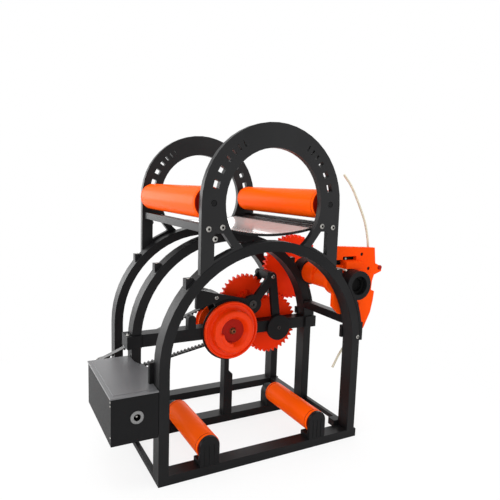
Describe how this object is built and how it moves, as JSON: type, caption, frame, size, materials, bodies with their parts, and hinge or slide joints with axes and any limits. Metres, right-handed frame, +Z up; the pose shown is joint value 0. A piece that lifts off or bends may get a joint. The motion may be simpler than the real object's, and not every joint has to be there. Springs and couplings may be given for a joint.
{
  "type": "filament rewinder",
  "caption": "Desktop filament rewinder: arch frames with a belt-driven spool hub, a roller cradle above and a geared level-wind carriage at the side.",
  "frame": {"origin": "centre of the underside of the middle frame's foot rail, below the hub's axle", "axes": "+Z up, +Y from the front frame to the back frame along the axle, +X to the right, to the level wind"},
  "size_m": [0.3462, 0.2104, 0.3695],
  "materials": {
    "black_paint": "satin",
    "black_plastic": "matte",
    "orange_plastic": "satin",
    "bare_steel": "satin",
    "black_rubber": "matte",
    "tray_plastic": "gloss",
    "filament": "satin"
  },
  "bodies": {
    "frame": {"front_frame": "black_paint", "middle_frame": "black_paint", "back_frame": "black_paint", "front_ring_plate": "black_paint", "back_ring_plate": "black_paint", "left_front_rail": "black_paint", "left_back_rail": "black_paint", "right_front_rail": "black_paint", "right_back_rail": "black_paint", "carriage_rail": "black_paint", "left_cradle_beam": "black_paint", "right_cradle_beam": "black_paint", "cradle_tray": "tray_plastic", "left_upper_axle": "bare_steel", "right_upper_axle": "bare_steel", "left_lower_axle": "bare_steel", "right_lower_axle": "bare_steel", "left_front_roller_bracket": "black_plastic", "right_front_roller_bracket": "black_plastic", "left_back_roller_bracket": "black_plastic", "right_back_roller_bracket": "black_plastic", "crossbar": "black_plastic", "left_crossbar_clamp": "black_plastic", "right_crossbar_clamp": "black_plastic", "post": "black_paint", "gear_carrier_front": "black_plastic", "gear_carrier_rear": "black_plastic", "left_standoff": "black_plastic", "top_standoff": "black_plastic", "layshaft_cap": "black_plastic", "first_gear_pin": "bare_steel", "layshaft_pin": "bare_steel", "front_bearing": "bare_steel", "rear_bearing": "bare_steel", "drive_belt": "black_rubber", "motor_box": "black_plastic", "motor_box_lid": "black_plastic", "motor_box_bracket": "black_plastic", "power_jack": "black_plastic", "motor": "bare_steel", "front_screw_bracket": "black_plastic", "middle_screw_bracket": "black_plastic"},
    "axle": {"hub_axle": "bare_steel", "spool_hub": "orange_plastic", "backing_disc": "black_plastic", "drive_pinion": "orange_plastic", "axle_pulley": "orange_plastic"},
    "motor_rotor": {"motor_shaft": "bare_steel", "motor_pulley": "bare_steel"},
    "first_gear_body": {"first_gear": "orange_plastic"},
    "layshaft": {"layshaft_gear": "orange_plastic"},
    "idler": {"idler_gear": "orange_plastic"},
    "screw": {"level_wind_screw": "orange_plastic", "screw_gear": "orange_plastic"},
    "carriage_body": {"carriage": "orange_plastic", "filament": "filament"},
    "upper_left_roll": {"left_upper_roller": "orange_plastic"},
    "upper_right_roll": {"right_upper_roller": "orange_plastic"},
    "lower_left_roll": {"left_lower_roller": "orange_plastic"},
    "lower_right_roll": {"right_lower_roller": "orange_plastic"}
  },
  "joints": [
    {"name": "axle_spin", "type": "hinge", "parent": "frame", "child": "axle", "pos_m": [0, 0, 0.123], "axis": [0, 1, 0], "continuous": true},
    {"name": "motor_spin", "type": "hinge", "parent": "frame", "child": "motor_rotor", "pos_m": [-0.14855, 0, 0.0795], "axis": [0, 1, 0], "continuous": true},
    {"name": "first_gear_spin", "type": "hinge", "parent": "frame", "child": "first_gear_body", "pos_m": [0.03227, 0, 0.15226], "axis": [0, 1, 0], "continuous": true},
    {"name": "layshaft_spin", "type": "hinge", "parent": "frame", "child": "layshaft", "pos_m": [0.07047, 0, 0.11847], "axis": [0, 1, 0], "continuous": true},
    {"name": "idler_spin", "type": "hinge", "parent": "frame", "child": "idler", "pos_m": [0.09314, 0, 0.13605], "axis": [0, 1, 0], "continuous": true},
    {"name": "screw_spin", "type": "hinge", "parent": "frame", "child": "screw", "pos_m": [0.12025, 0, 0.1902], "axis": [0, 1, 0], "continuous": true},
    {"name": "carriage_slide", "type": "slide", "parent": "frame", "child": "carriage_body", "axis": [0, 1, 0], "range_m": [0, 0.05]},
    {"name": "upper_left_roll_spin", "type": "hinge", "parent": "frame", "child": "upper_left_roll", "pos_m": [-0.071, 0, 0.2855], "axis": [0, 1, 0], "continuous": true},
    {"name": "upper_right_roll_spin", "type": "hinge", "parent": "frame", "child": "upper_right_roll", "pos_m": [0.071, 0, 0.2855], "axis": [0, 1, 0], "continuous": true},
    {"name": "lower_left_roll_spin", "type": "hinge", "parent": "frame", "child": "lower_left_roll", "pos_m": [-0.069, 0, 0.0287], "axis": [0, 1, 0], "continuous": true},
    {"name": "lower_right_roll_spin", "type": "hinge", "parent": "frame", "child": "lower_right_roll", "pos_m": [0.069, 0, 0.0287], "axis": [0, 1, 0], "continuous": true}
  ],
  "couplings": [
    {"joint": "motor_spin", "follows": "axle_spin", "ratio": 2.3571},
    {"joint": "first_gear_spin", "follows": "axle_spin", "ratio": -0.28125},
    {"joint": "layshaft_spin", "follows": "axle_spin", "ratio": 0.09375},
    {"joint": "idler_spin", "follows": "axle_spin", "ratio": -0.075},
    {"joint": "screw_spin", "follows": "axle_spin", "ratio": 0.026786}
  ]
}
